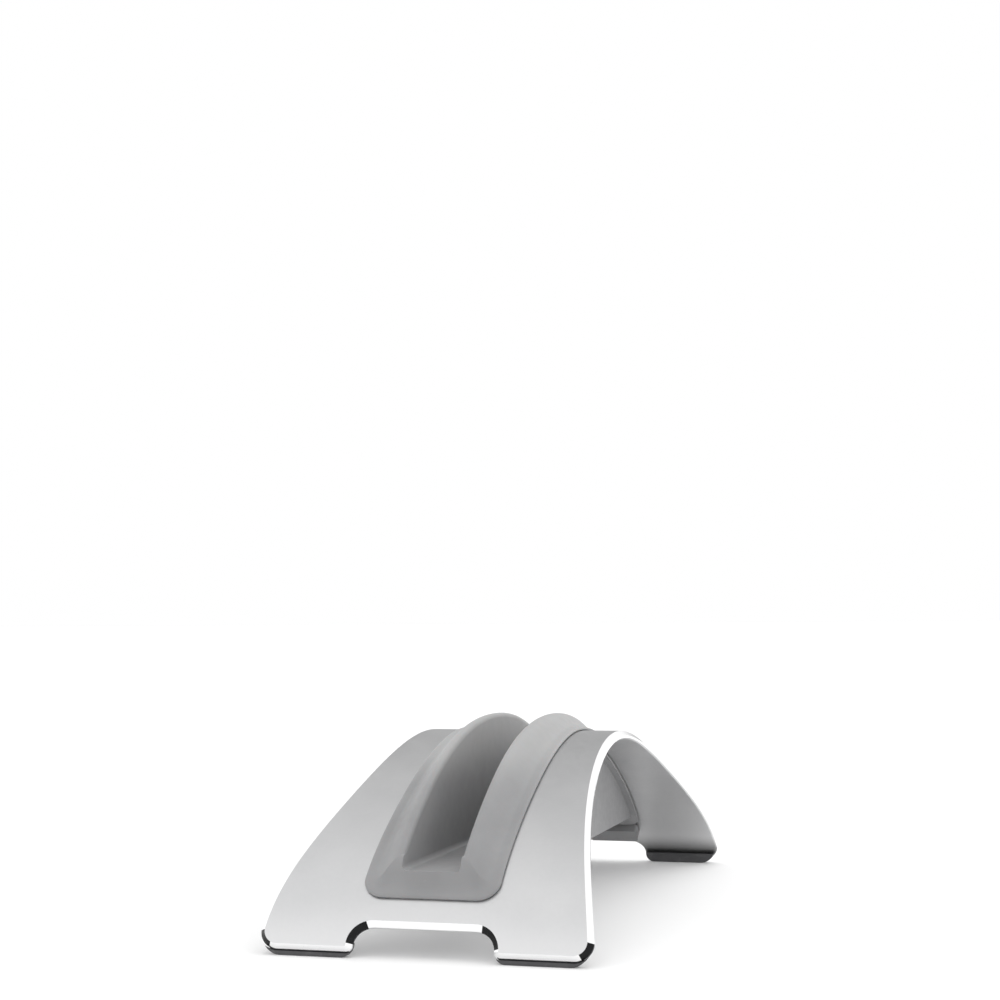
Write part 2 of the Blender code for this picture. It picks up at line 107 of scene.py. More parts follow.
# The stiff core round the liner, and the tray that the core drops into.
CORE_FLOOR = 1.5 * MM
CORE_WALL = 2.9 * MM
CORE_TOP = 0.2 * MM  # how far the core's top stays under the arch's outer face
CORE_EDGE = 0.3 * MM
TRAY_EDGE = 0.2 * MM
TRAY_FLOOR = 1.2 * MM
TRAY_WALL = 1.2 * MM
FLANGE_THICKNESS = 1 * MM
FLANGE_HALF_WIDTH = 19 * MM
FLANGE_END_Z = 16.8 * MM
FLANGE_RADIUS = 3.6 * MM
CUTTER_REACH = 8 * MM

# Fasteners: studs welded under the arch, with washers and hexagon nuts on the tray's four ears.
EAR_X = 20.6 * MM
EAR_ARC = 14 * MM
EAR_RADIUS = 4.2 * MM
STUD_RADIUS = 1.5 * MM
STUD_LENGTH = 5.6 * MM
STUD_HOLE_RADIUS = STUD_RADIUS + GAP
STUD_TAPER = 0.45 * MM
THREAD_PITCH = 0.5 * MM
THREAD_DEPTH = 0.28 * MM
THREAD_SIDES = 28
THREAD_ROWS = 9  # rings of points in one pitch
WASHER_RADIUS = 3.5 * MM
WASHER_THICKNESS = 0.5 * MM
WASHER_EDGE = 0.12 * MM
WASHER_PLAY = 0.15 * MM
NUT_ACROSS_FLATS = 5.5 * MM
NUT_THICKNESS = 2.4 * MM
NUT_FACE = 0.95  # the flat round face, as a share of the width across the flats
NUT_SLOPE = math.tan(math.radians(30))
NUT_PLAY = 0.04 * MM
NUT_COUNTERSINK = 0.25 * MM
NUT_EDGE = 0.05 * MM

# The soft cable catch over the rear notch, pushed on two shorter studs.
CATCH_HALF_WIDTH = 18.2 * MM
CATCH_TOP_Z = 16.2 * MM
CATCH_LENGTH = 5.2 * MM
CATCH_THICKNESS = 3.6 * MM
CATCH_CORNER_RADIUS = 1.2 * MM
CATCH_STUD_X = 14.6 * MM
CATCH_STUD_LENGTH = 2.4 * MM
CATCH_BOW = 0.2 * MM  # the leg curves away from the straight catch at its two ends
CATCH_EDGE = 0.35 * MM
CABLE_RADIUS = 1.7 * MM
CABLE_COVER = 0.8 * MM  # between the cable's seat and the catch's lower edge
CABLE_MOUTH_HALF_WIDTH = 1.2 * MM

# The rubber pads under the four feet: a sole and a thin heel, moulded round the sheet's edge.
PAD_INNER_X = NOTCH_HALF_WIDTH + 0.4 * MM
PAD_OUTER_X = 45.2 * MM
PAD_OUTER_INSET = 1.2 * MM
PAD_INNER_RADIUS = 2.8 * MM
PAD_OUTER_RADIUS = 5.2 * MM
HEEL_TOP_Z = 3.4 * MM
HEEL_THICKNESS = 1.2 * MM
HEEL_STEPS = 10
SOLE_GROOVES = 2
GROOVE_WIDTH = 0.4 * MM
GROOVE_DEPTH = 0.35 * MM
PAD_EDGE = 0.18 * MM
PAD_BLOCK_REACH = 20 * MM  # how far the uncut block runs past the pad
SHEET_SPACE_TOP = 2 * MM  # how far out from the sheet its space in a pad is kept clear

# The studio: the brightness of its walls and its floor, and the light above.
ROOM_FRONT = 1.12
ROOM_BACK = 0.42
FLOOR_SIZE = 40
FLOOR_GLOW = 0.12
OVERHEAD_FROM = (0.2, 0.35, 1)
OVERHEAD_SPREAD = 80
OVERHEAD_STRENGTH = 0.9

# The camera: its place, where it points, and a lens for a 36 mm sensor.
CAMERA_PLACE = (151.3 * MM, -566.4 * MM, 90.2 * MM)
CAMERA_TURN = 15.59
CAMERA_PITCH = 3.68
CAMERA_ROLL = -0.42
CAMERA_LENS = 65.58

Station = namedtuple("Station", "arc y z out_y out_z")


def slope_at(arc):
    distance = arc / SLOPE_LENGTH
    return sum(term * distance ** (2 * i + 1) for i, term in enumerate(SLOPE_TERMS))


@functools.lru_cache(maxsize=None)
def station_at(arc):
    """The outer face's point at this arc length, and its outward direction."""
    steps = max(1, round(arc / PROFILE_STEP))
    length = arc / steps
    angles = [slope_at((i + 0.5) * length) for i in range(steps)]
    y = sum(math.cos(angle) for angle in angles) * length
    z = CROWN_HEIGHT - sum(math.sin(angle) for angle in angles) * length
    return Station(arc, y, z, math.sin(slope_at(arc)), math.cos(slope_at(arc)))


def offset_point(station, height):
    return station.y + height * station.out_y, station.z + height * station.out_z


def arc_at_z(z, height=0.0):
    """The arc length at which the curve at this height from the outer face is z above the floor."""
    low, high = 0.0, LONGEST_ARC
    for _ in range(HALVINGS):
        middle = (low + high) / 2
        if offset_point(station_at(middle), height)[1] > z:
            low = middle
        else:
            high = middle
    return round(high, 7)


FOOT_ARC = arc_at_z(FOOT_END_Z)
NOTCH_ARC = arc_at_z(NOTCH_TOP_Z)
SLOT_ARC = arc_at_z(SLOT_END_Z)
LIP_ARC = arc_at_z(LIP_END_Z)
FLANGE_ARC = arc_at_z(FLANGE_END_Z)
CATCH_ARC = arc_at_z(CATCH_TOP_Z)


def facet_arcs():
    """Where the bent pieces are creased: close together where the profile turns fast."""
    arcs = [0.0]
    while arcs[-1] < FOOT_ARC:
        turn = slope_at(arcs[-1] + LONGEST_FACET) - slope_at(arcs[-1])
        arcs.append(arcs[-1] + min(LONGEST_FACET, LONGEST_FACET * FACET_TURN / turn))
    arcs[-1] = FOOT_ARC
    return arcs


STATIONS = [station_at(arc) for arc in facet_arcs()]
STATION_ARCS = [station.arc for station in STATIONS]


def bend(x, arc, height):
    """A point of the flat drawing, moved to its place on the arch."""
    index = min(bisect.bisect_right(STATION_ARCS, arc), len(STATIONS) - 1)
    low, high = STATIONS[index - 1], STATIONS[index]
    share = (arc - low.arc) / (high.arc - low.arc)
    start = Vector((x, *offset_point(low, height)))
    return start.lerp(Vector((x, *offset_point(high, height))), share)


def half_width(arc):
    reach = station_at(arc).y / station_at(FOOT_ARC).y
    return CROWN_HALF_WIDTH + (FOOT_HALF_WIDTH - CROWN_HALF_WIDTH) * reach**WIDTH_POWER


def round_corner(x, arc, radius, start, end, steps=10):
    """Points of a circular arc round (x, arc), between two angles in degrees."""
    turns = [math.radians(start + (end - start) * i / steps) for i in range(steps + 1)]
    return [(x + radius * math.cos(a), arc + radius * math.sin(a)) for a in turns]


def circle(radius, steps=36):
    return round_corner(0.0, 0.0, radius, 0, 360 * (1 - 1 / steps), steps - 1)


def arch_outline(inset):
    """A quarter of the arch's flat outline, anticlockwise from the slot's edge at the crown."""
    end = FOOT_ARC - inset
    outer = FOOT_OUTER_RADIUS - inset
    inner = FOOT_INNER_RADIUS - inset
    points = [(SLOT_HALF_WIDTH + inset, 0.0)]
    points += [(half_width(arc) - inset, arc) for arc in STATION_ARCS if arc < end - outer - CORNER_SPACE]
    points += round_corner(half_width(end - outer) - inset - outer, end - outer, outer, 0, 90, steps=14)
    points += round_corner(NOTCH_HALF_WIDTH + inset + inner, end - inner, inner, 90, 180, steps=8)
    notch_x = NOTCH_HALF_WIDTH - NOTCH_RADIUS
    points += round_corner(notch_x, NOTCH_ARC + NOTCH_RADIUS, NOTCH_RADIUS + inset, 0, -90, steps=16)
    points += [(0.0, NOTCH_ARC - inset), (0.0, SLOT_ARC + inset)]
    slot_x = SLOT_HALF_WIDTH - SLOT_RADIUS
    points += round_corner(slot_x, SLOT_ARC - SLOT_RADIUS, SLOT_RADIUS + inset, 90, 0, steps=8)
    return points


def lip_outline(inset):
    """A quarter of the liner's flat outline."""
    radius = max(LIP_CORNER_RADIUS - inset, SMALLEST_RADIUS)
    x = LIP_HALF_WIDTH - inset - radius
    arc = LIP_ARC - inset - radius
    corner = round_corner(x, arc, radius, 0, 90, steps=12)
    return [(0.0, 0.0), (x + radius, 0.0)] + corner + [(0.0, arc + radius)]


def flange_outline(inset):
    """A quarter of the tray's flange, with the ear for one fastener."""
    x = FLANGE_HALF_WIDTH - inset
    ear = round_corner(EAR_X, EAR_ARC, EAR_RADIUS - inset, -90, 90, steps=20)
    corner = round_corner(x - FLANGE_RADIUS, FLANGE_ARC - inset - FLANGE_RADIUS, FLANGE_RADIUS, 0, 90)
    points = [(0.0, 0.0), (x, 0.0), (x, ear[0][1])] + ear + [(x, ear[-1][1])] + corner
    return points + [(0.0, FLANGE_ARC - inset)]


def saddle_levels():
    """The liner's section from the groove's rim out to the lip and under it, as (inset, height) pairs."""
    top = LIP_THICKNESS + SADDLE_RISE - MARGIN
    rim = LIP_HALF_WIDTH - GROOVE_HALF_WIDTH
    crest = rim - RIM_RADIUS
    levels = [(rim + RIM_REACH, top - RIM_RADIUS - RIM_REACH)]
    for turn in RIM_TURNS:
        angle = math.radians(turn)
        levels.append((crest + RIM_RADIUS * math.sin(angle), top - RIM_RADIUS * (1 - math.cos(angle))))
    for step in range(SADDLE_STEPS + 1):
        share = 1 - step / SADDLE_STEPS
        rise = (SADDLE_RISE - MARGIN) * (1 - math.cos(math.pi * share)) / 2
        levels.append((SADDLE_FOOT + (crest - SADDLE_FOOT) * share, LIP_THICKNESS + rise))
    half = (LIP_THICKNESS - LIP_GAP) / 2
    for turn in LIP_TURNS:
        angle = math.radians(turn)
        inset = (LIP_ROUNDING if turn > 0 else half) * (1 - math.cos(angle))
        levels.append((inset, LIP_GAP + half + half * math.sin(angle)))
    return levels


def swell(height, arc):
    """The saddle stands higher half way down each leg than at the crown and at its ends."""
    if height <= LIP_THICKNESS:
        return height
    share = math.sin(math.pi * arc / LIP_ARC) ** 2
    return LIP_THICKNESS + (height - LIP_THICKNESS) * (1 + SADDLE_SWELL * share)


def mesh_from(bm, name):
    mesh = bpy.data.meshes.new(name)
    bm.to_mesh(mesh)
    bm.free()
    return mesh


def on_mirror_plane(a, b):
    return max(abs(a.co.x), abs(b.co.x)) < 1e-9 or max(abs(a.co.y), abs(b.co.y)) < 1e-9


def bent_plate(name, outline, levels, height_law=None, finish_of=None):
    """A bent plate from a quarter of its flat outline. levels are (inset, height) pairs from the top down.

    height_law(height, arc) may change the heights along the arch, and finish_of(level, x, arc) may give
    the material index of the faces under each level.
    """
    bm = bmesh.new()
    rings = [[bm.verts.new((x, arc, height)) for x, arc in outline(inset)] for inset, height in levels]
    bm.faces.new(rings[0])
    bm.faces.new(reversed(rings[-1]))
    for level, (upper, lower) in enumerate(zip(rings, rings[1:])):
        for i in range(len(upper)):
            j = (i + 1) % len(upper)
            if on_mirror_plane(upper[i], upper[j]):
                continue
            face = bm.faces.new((lower[i], lower[j], upper[j], upper[i]))
            if finish_of:
                middle = face.calc_center_median()
                face.material_index = finish_of(level, middle.x, middle.y)
    for arc in STATION_ARCS[1:-1]:
        everything = bm.verts[:] + bm.edges[:] + bm.faces[:]
        bmesh.ops.bisect_plane(bm, geom=everything, dist=1e-6, plane_co=(0, arc, 0), plane_no=(0, 1, 0))
    for vert in bm.verts:
        x, arc, height = vert.co
        vert.co = bend(x, arc, height_law(height, arc) if height_law else height)
    made = add_piece(name, mesh_from(bm, name))
    mirror = made.modifiers.new("mirror", "MIRROR")
    mirror.use_axis = (True, True, False)
    mirror.merge_threshold = NEAR
    return made


def add_piece(name, mesh):
    made = bpy.data.objects.new(name, mesh)
    bpy.context.scene.collection.objects.link(made)
    return made


def dome_profile(height, floor_z):
    """The YZ outline of the space between a level floor and the curve at this height from the outer face."""
    half = []
    for low, high in zip(STATIONS, STATIONS[1:]):
        (low_y, low_z), (high_y, high_z) = offset_point(low, height), offset_point(high, height)
        half.append((low_y, low_z))
        if high_z <= floor_z:
            share = (low_z - floor_z) / (low_z - high_z)
            half.append((low_y + (high_y - low_y) * share, floor_z))
            break
    return [(-y, z) for y, z in reversed(half[1:])] + half


def prism(name, profile, start_x, end_x):
    """A YZ outline pushed along X."""
    bm = bmesh.new()
    face = bm.faces.new([bm.verts.new((start_x, y, z)) for y, z in profile])
    pushed = bmesh.ops.extrude_face_region(bm, geom=[face])["geom"]
    moved = [item for item in pushed if isinstance(item, bmesh.types.BMVert)]
    bmesh.ops.translate(bm, verts=moved, vec=(end_x - start_x, 0, 0))
    bmesh.ops.recalc_face_normals(bm, faces=bm.faces[:])
    return mesh_from(bm, name)


def round_edges(mesh, radius, segments, chosen):
    """Rounds the edges whose two ends both pass the chosen test."""
    bm = bmesh.new()
    bm.from_mesh(mesh)
    edges = [edge for edge in bm.edges if all(chosen(vert.co) for vert in edge.verts)]
    bmesh.ops.bevel(bm, geom=edges, offset=radius, segments=segments, profile=0.5, affect="EDGES")
    bm.to_mesh(mesh)
    bm.free()
    return mesh


def boolean(target, operation, mesh, place=None):
    """Joins or cuts with a mesh that is then thrown away."""
    other = add_piece("tool", mesh)
    if place:
        other.matrix_world = place
    modifier = target.modifiers.new("boolean", "BOOLEAN")
    modifier.operation = operation
    modifier.object = other
    modifier.solver = "EXACT"
    apply_modifiers(target)
    bpy.data.objects.remove(other)


def apply_modifiers(target):
    """Replaces the piece's mesh by what its modifiers make of it."""
    graph = bpy.context.evaluated_depsgraph_get()
    made = bpy.data.meshes.new_from_object(target.evaluated_get(graph))
    target.modifiers.clear()
    target.data = made


def soften(target, width, segments=2, angle=40):
    """Rounds every sharp edge a little."""
    bevel = target.modifiers.new("soften", "BEVEL")
    bevel.limit_method = "ANGLE"
    bevel.angle_limit = math.radians(angle)
    bevel.width = width
    bevel.segments = segments
    bevel.use_clamp_overlap = True


def shade(target, angle=35):
    """Smooth shading with crisp edges, where large faces keep their own direction."""
    apply_modifiers(target)
    target.data.shade_smooth()
    target.data.set_sharp_from_angle(angle=math.radians(angle))
    weighted = target.modifiers.new("weighted", "WEIGHTED_NORMAL")
    weighted.keep_sharp = True


def dress(target, body, slot, finish, *nodes):
    """Gives a finished piece its material and its body, and hides the CAD nodes it stands for. slot is not
    used.
    """
    if finish and not target.data.materials:
        target.data.materials.append(finish)
    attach(target, body)
    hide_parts(*nodes)


def face_frame(x, arc, side, height):
    """Axes on the arch: X across, Y down the leg, Z out of the face. side is 1 at the rear, -1 in front."""
    station = station_at(arc)
    y, z = offset_point(station, height)
    out = Vector((0, side * station.out_y, station.out_z))
    down = Vector((0, side * station.out_z, -station.out_y))
    turned = Matrix((down.cross(out), down, out)).transposed().to_4x4()
    return Matrix.Translation((x, side * y, z)) @ turned


def flat_plate(name, outlines, thickness):
    """Closed outlines filled and given a thickness about z = 0. An outline inside another is a hole."""
    curve = bpy.data.curves.new(name, "CURVE")
    curve.dimensions = "2D"
    curve.fill_mode = "BOTH"
    curve.extrude = thickness / 2
    for outline in outlines:
        spline = curve.splines.new("POLY")
        spline.points.add(len(outline) - 1)
        for point, (x, y) in zip(spline.points, outline):
            point.co = (x, y, 0, 1)
        spline.use_cyclic_u = True
    drawn = add_piece(name, curve)
    mesh = bpy.data.meshes.new_from_object(drawn.evaluated_get(bpy.context.evaluated_depsgraph_get()))
    bpy.data.objects.remove(drawn)
    bm = bmesh.new()
    bm.from_mesh(mesh)
    bmesh.ops.remove_doubles(bm, verts=bm.verts[:], dist=SAME_POINT)
    bmesh.ops.recalc_face_normals(bm, faces=bm.faces[:])
    bm.to_mesh(mesh)
    bm.free()
    return mesh


def turned(name, profile, steps=48):
    """A closed (radius, z) outline turned round Z."""
    bm = bmesh.new()
    verts = [bm.verts.new((radius, 0, z)) for radius, z in profile]
    edges = [bm.edges.new((verts[i - 1], verts[i])) for i in range(len(verts))]
    axis = {"cent": (0, 0, 0), "axis": (0, 0, 1), "angle": math.tau, "steps": steps}
    bmesh.ops.spin(bm, geom=verts + edges, use_merge=True, **axis)
    bmesh.ops.remove_doubles(bm, verts=bm.verts[:], dist=SAME_POINT)
    bmesh.ops.recalc_face_normals(bm, faces=bm.faces[:])
    return mesh_from(bm, name)


class Nodes:
    """A small helper for building a material from nodes."""

    def __init__(self, name):
        self.material = bpy.data.materials.new(name)
        self.material.use_nodes = True
        self.tree = self.material.node_tree
        self.shader = self.tree.nodes["Principled BSDF"]
        self.place = self.tree.nodes.new("ShaderNodeTexCoord").outputs["Object"]

    def link(self, source, target):
        self.tree.links.new(source, target)

    def noise(self, scale, detail=3.0, stretch=None, roughness=0.5):
        """Noise at this many cells a metre, drawn out along an axis where stretch says so."""
        node = self.tree.nodes.new("ShaderNodeTexNoise")
        node.inputs["Scale"].default_value = scale
        node.inputs["Detail"].default_value = detail
        node.inputs["Roughness"].default_value = roughness
        place = self.place
        if stretch:
            mapping = self.tree.nodes.new("ShaderNodeMapping")
            mapping.inputs["Scale"].default_value = stretch
            self.link(place, mapping.inputs["Vector"])
            place = mapping.outputs["Vector"]
        self.link(place, node.inputs["Vector"])
        return node.outputs["Fac"]

    def cells(self, scale):
        node = self.tree.nodes.new("ShaderNodeTexVoronoi")
        node.inputs["Scale"].default_value = scale
        self.link(self.place, node.inputs["Vector"])
        return node.outputs["Distance"]

    def upward(self, source):
        """The Z part of a place or of a direction."""
        node = self.tree.nodes.new("ShaderNodeSeparateXYZ")
        self.link(source, node.inputs["Vector"])
        return node.outputs["Z"]

    def remap(self, source, low, high, to_low, to_high):
        node = self.tree.nodes.new("ShaderNodeMapRange")
        node.interpolation_type = "SMOOTHSTEP"
        node.inputs["From Min"].default_value = low
        node.inputs["From Max"].default_value = high
        node.inputs["To Min"].default_value = to_low
        node.inputs["To Max"].default_value = to_high
        self.link(source, node.inputs["Value"])
        return node.outputs["Result"]

    def math(self, operation, first, second):
        node = self.tree.nodes.new("ShaderNodeMath")
        node.operation = operation
        for value, socket in ((first, node.inputs[0]), (second, node.inputs[1])):
            if isinstance(value, (int, float)):
                socket.default_value = value
            else:
                self.link(value, socket)
        return node.outputs["Value"]

    def blend(self, share, first, second):
        """A colour between two, where each may be a colour or a node's output."""
        node = self.tree.nodes.new("ShaderNodeMix")
        node.data_type = "RGBA"
        self.link(share, node.inputs["Factor"])
        for value, socket in ((first, node.inputs["A"]), (second, node.inputs["B"])):
            if isinstance(value, tuple):
                socket.default_value = (*value, 1.0)
            else:
                self.link(value, socket)
        return node.outputs["Result"]

    def bump(self, height, distance, strength=1.0, under=None):
        node = self.tree.nodes.new("ShaderNodeBump")
        node.inputs["Distance"].default_value = distance
        node.inputs["Strength"].default_value = strength
        self.link(height, node.inputs["Height"])
        if under:
            self.link(under, node.inputs["Normal"])
        return node.outputs["Normal"]

    def finish(self, colour, roughness, normal=None, **fixed):
        """Wires the surface. fixed holds the sockets whose value is the same all over."""
        self.link(colour, self.shader.inputs["Base Color"])
        self.link(roughness, self.shader.inputs["Roughness"])
        if normal:
            self.link(normal, self.shader.inputs["Normal"])
        for name, value in fixed.items():
            self.shader.inputs[name.replace("_", " ")].default_value = value
        return self.material


def satin_aluminium():
    """Bead-blasted, anodised sheet: an even fine grain, with faint handling marks.

    Painted light makes it paler towards the feet, and painted shade darkens the faces turned down near the
    floor, next to the dark pads.
    """
    nodes = Nodes("satin_aluminium")
    tone = nodes.noise(35, 4)
    plain = nodes.blend(nodes.remap(tone, 0.3, 0.7, 0, 1), (0.60, 0.602, 0.608), (0.645, 0.646, 0.65))
    height = nodes.upward(nodes.place)
    facing = nodes.upward(nodes.tree.nodes.new("ShaderNodeNewGeometry").outputs["Normal"])
    # painted light: the sheet is paler towards the feet
    painted_foot_light = nodes.remap(height, 2 * MM, 16 * MM, 0.9, 0)
    inside = nodes.remap(facing, -0.2, 0, 1, 0)
    # painted shade: faces turned down go dark near the floor, next to the pads
    painted_foot_shade = nodes.math("MULTIPLY", inside, nodes.remap(height, 3.5 * MM, 10.5 * MM, 0.9, 0))
    colour = nodes.blend(painted_foot_shade, nodes.blend(painted_foot_light, plain, (0.72, 0.72, 0.725)), (0.12, 0.12, 0.12))
    smudge = nodes.remap(nodes.noise(55, 5, roughness=0.6), 0.5, 0.72, 0, 0.05)
    roughness = nodes.math("ADD", nodes.remap(nodes.noise(900, 2), 0.3, 0.7, 0.36, 0.43), smudge)
    grain = nodes.bump(nodes.noise(5200, 2), 0.006 * MM, 0.5)
    pits = nodes.bump(nodes.cells(2600), 0.004 * MM, 0.35, grain)
    return nodes.finish(colour, roughness, pits, Metallic=1.0)


def polished_aluminium():
    """The diamond-cut edge: bright, with fine cutter lines."""
    nodes = Nodes("polished_aluminium")
    tone = nodes.noise(120, 3)
    colour = nodes.blend(tone, (0.90, 0.90, 0.905), (0.96, 0.96, 0.96))
    roughness = nodes.remap(nodes.noise(700, 3), 0.3, 0.7, 0.10, 0.17)
    lines = nodes.bump(nodes.noise(2500, 2, stretch=(1, 0.15, 1)), 0.001 * MM, 0.25)
    return nodes.finish(colour, roughness, lines, Metallic=1.0)


def painted_dark_reflection():
    """The cut rim where it turns a corner: the same bright cut with a painted dark reflection, coloured near
    black.
    """
    nodes = Nodes("painted_dark_reflection")
    tone = nodes.noise(300, 3)
    # painted reflection: a near-black colour on the polished cut
    colour = nodes.blend(tone, (0.012, 0.012, 0.013), (0.03, 0.03, 0.03))
    roughness = nodes.remap(nodes.noise(700, 3), 0.3, 0.7, 0.2, 0.3)
    return nodes.finish(colour, roughness, Metallic=1.0)


def grey_silicone():
    """Moulded silicone: matt, slightly soft to the light, with a fine tooth and a little dust.

    Painted light makes it paler at the crown.
    """
    nodes = Nodes("grey_silicone")
    tone = nodes.remap(nodes.noise(45, 4), 0.3, 0.7, 0, 1)
    plain = nodes.blend(tone, (0.225, 0.225, 0.229), (0.26, 0.26, 0.265))
    dust = nodes.remap(nodes.noise(1400, 6, roughness=0.7), 0.62, 0.75, 0, 0.35)
    # painted light: paler towards the crown
    painted_crown_light = nodes.remap(nodes.upward(nodes.place), 40 * MM, 52 * MM, 0, 0.9)
    colour = nodes.blend(dust, nodes.blend(painted_crown_light, plain, (0.35, 0.35, 0.35)), (0.36, 0.36, 0.36))
    roughness = nodes.remap(nodes.noise(300, 3), 0.3, 0.7, 0.5, 0.6)
    tooth = nodes.bump(nodes.noise(3800, 3), 0.012 * MM, 0.5)
    return nodes.finish(
        colour,
        roughness,
        tooth,
        Sheen_Weight=0.12,
        Sheen_Roughness=0.5,
        Subsurface_Weight=0.05,
        Subsurface_Scale=0.8 * MM,
    )


def grey_plastic():
    """Moulded plastic with a spark-eroded surface."""
    nodes = Nodes("grey_plastic")
    tone = nodes.remap(nodes.noise(60, 3), 0.3, 0.7, 0, 1)
    colour = nodes.blend(tone, (0.27, 0.27, 0.275), (0.30, 0.30, 0.305))
    roughness = nodes.remap(nodes.noise(500, 3), 0.3, 0.7, 0.44, 0.56)
    coarse = nodes.bump(nodes.noise(1800, 3), 0.02 * MM, 0.5)
    fine = nodes.bump(nodes.cells(3600), 0.008 * MM, 0.5, coarse)
    return nodes.finish(colour, roughness, fine)


def dark_rubber():
    """Moulded rubber, with scuffs where it meets the desk."""
    nodes = Nodes("dark_rubber")
    tone = nodes.remap(nodes.noise(90, 4), 0.3, 0.7, 0, 1)
    plain = nodes.blend(tone, (0.055, 0.055, 0.058), (0.075, 0.075, 0.078))
    scuff = nodes.remap(nodes.noise(420, 6, roughness=0.7), 0.55, 0.7, 0, 0.4)
    colour = nodes.blend(scuff, plain, (0.13, 0.13, 0.13))
    roughness = nodes.remap(nodes.noise(260, 4), 0.3, 0.7, 0.62, 0.8)
    tooth = nodes.bump(nodes.noise(2400, 3), 0.02 * MM, 0.6)
    return nodes.finish(colour, roughness, tooth)


def drawn_aluminium():
    """The studs: bare metal with turning marks along the thread."""
    nodes = Nodes("drawn_aluminium")
    colour = nodes.blend(nodes.noise(600, 3), (0.66, 0.66, 0.67), (0.78, 0.78, 0.78))
    roughness = nodes.remap(nodes.noise(1500, 3), 0.3, 0.7, 0.22, 0.36)
    marks = nodes.bump(nodes.noise(4000, 2), 0.003 * MM, 0.4)
    return nodes.finish(colour, roughness, marks, Metallic=1.0)


def zinc_steel():
    """Bright zinc plate with its faint blue and straw tints."""
    nodes = Nodes("zinc_steel")
    tint = nodes.remap(nodes.noise(350, 4), 0.35, 0.65, 0, 1)
    colour = nodes.blend(tint, (0.60, 0.62, 0.66), (0.70, 0.68, 0.62))
    roughness = nodes.remap(nodes.noise(1200, 4), 0.3, 0.7, 0.24, 0.4)
    grain = nodes.bump(nodes.noise(5000, 2), 0.003 * MM, 0.4)
    return nodes.finish(colour, roughness, grain, Metallic=1.0)


def in_corner(x, arc):
    """Whether a point of the arch's rim is where a rounded corner of a foot or of the notch carries a painted
    dark reflection.
    """
    outer = FOOT_OUTER_RADIUS
    foot = (half_width(FOOT_ARC - outer) - outer, FOOT_ARC - outer, 1, outer, FOOT_PAINTED_REFLECTION)
    notch = (NOTCH_HALF_WIDTH - NOTCH_RADIUS, NOTCH_ARC + NOTCH_RADIUS, -1, NOTCH_RADIUS, NOTCH_PAINTED_REFLECTION)
    for centre_x, centre_arc, way, radius, (start, end) in (foot, notch):
        across, down = x - centre_x, way * (arc - centre_arc)
        near = math.hypot(across, down) < radius + OUTER_CHAMFER
        if near and start < math.degrees(math.atan2(down, across)) < end:
            return True
    return False


def rim_finish(level, x, arc):
    """The outer chamfer and the edge are cut bright, with a painted dark reflection in the corners."""
    if level > 1:
        return 0
    return 2 if in_corner(x, arc) else 1


def make_arch(satin, polished, dark):
    levels = [
        (OUTER_CHAMFER, 0.0),
        (0.0, -OUTER_CHAMFER),
        (0.0, INNER_CHAMFER - SHEET),
        (INNER_CHAMFER, -SHEET),
    ]
    arch = bent_plate("arch", lambda inset: arch_outline(inset + MARGIN), levels, finish_of=rim_finish)
    # the third finish, on the rim in the corners, is a painted dark reflection
    for finish in (satin, polished, dark):
        arch.data.materials.append(finish)
    shade(arch, 20)
    dress(arch, "stand", "arch_aluminium", None, "arch_shell")


def make_liner(silicone):
    liner = bent_plate("liner", lip_outline, saddle_levels(), swell)
    apply_modifiers(liner)
    lining = GROOVE_HALF_WIDTH + LINER_WALL
    profile = dome_profile(LIP_THICKNESS * LINING_OVERLAP, GROOVE_FLOOR_Z - LINER_FLOOR)
    boolean(liner, "UNION", prism("lining", profile, -lining, lining))
    reach = FOOT_HALF_WIDTH * 3
    top_z = CROWN_HEIGHT * 2
    box = [(-reach, GROOVE_FLOOR_Z), (reach, GROOVE_FLOOR_Z), (reach, top_z), (-reach, top_z)]
    groove = prism("groove", box, -GROOVE_HALF_WIDTH, GROOVE_HALF_WIDTH)
    groove = round_edges(groove, GROOVE_ROOT_RADIUS, 5, lambda co: co.z < GROOVE_FLOOR_Z + NEAR)
    boolean(liner, "DIFFERENCE", groove)
    shade(liner, 35)
    dress(liner, "insert", "liner_silicone", silicone, "insert_liner")


def make_core(plastic):
    inside = GROOVE_HALF_WIDTH + LINER_WALL + GAP
    outside = inside + CORE_WALL
    floor = GROOVE_FLOOR_Z - LINER_FLOOR - GAP
    body = prism("core", dome_profile(-CORE_TOP, floor - CORE_FLOOR), -outside, outside)
    core = add_piece("core", body)
    boolean(core, "DIFFERENCE", prism("hollow", dome_profile(CUTTER_REACH, floor), -inside, inside))
    soften(core, CORE_EDGE)
    shade(core)
    dress(core, "insert", "core_plastic", plastic, "insert_core")


def ear_places():
    return [(x, EAR_ARC, side) for x in (-EAR_X, EAR_X) for side in (-1, 1)]


def make_tray(plastic):
    inside = GROOVE_HALF_WIDTH + LINER_WALL + CORE_WALL + 2 * GAP
    outside = inside + TRAY_WALL
    floor = GROOVE_FLOOR_Z - LINER_FLOOR - CORE_FLOOR - 2 * GAP
    top = -SHEET - GAP
    tray = bent_plate("tray", flange_outline, [(0.0, top), (0.0, top - FLANGE_THICKNESS)])
    apply_modifiers(tray)
    profile = dome_profile(top - FLANGE_THICKNESS / 2, floor - TRAY_FLOOR)
    boolean(tray, "UNION", prism("trough", profile, -outside, outside))
    boolean(tray, "DIFFERENCE", prism("hollow", dome_profile(CUTTER_REACH, floor), -inside, inside))
    for x, arc, side in ear_places():
        hole = flat_plate("hole", [circle(STUD_HOLE_RADIUS)], CUTTER_REACH)
        boolean(tray, "DIFFERENCE", hole, face_frame(x, arc, side, top))
    soften(tray, TRAY_EDGE)
    shade(tray)
    dress(tray, "stand", "tray_plastic", plastic, "cradle_tray")


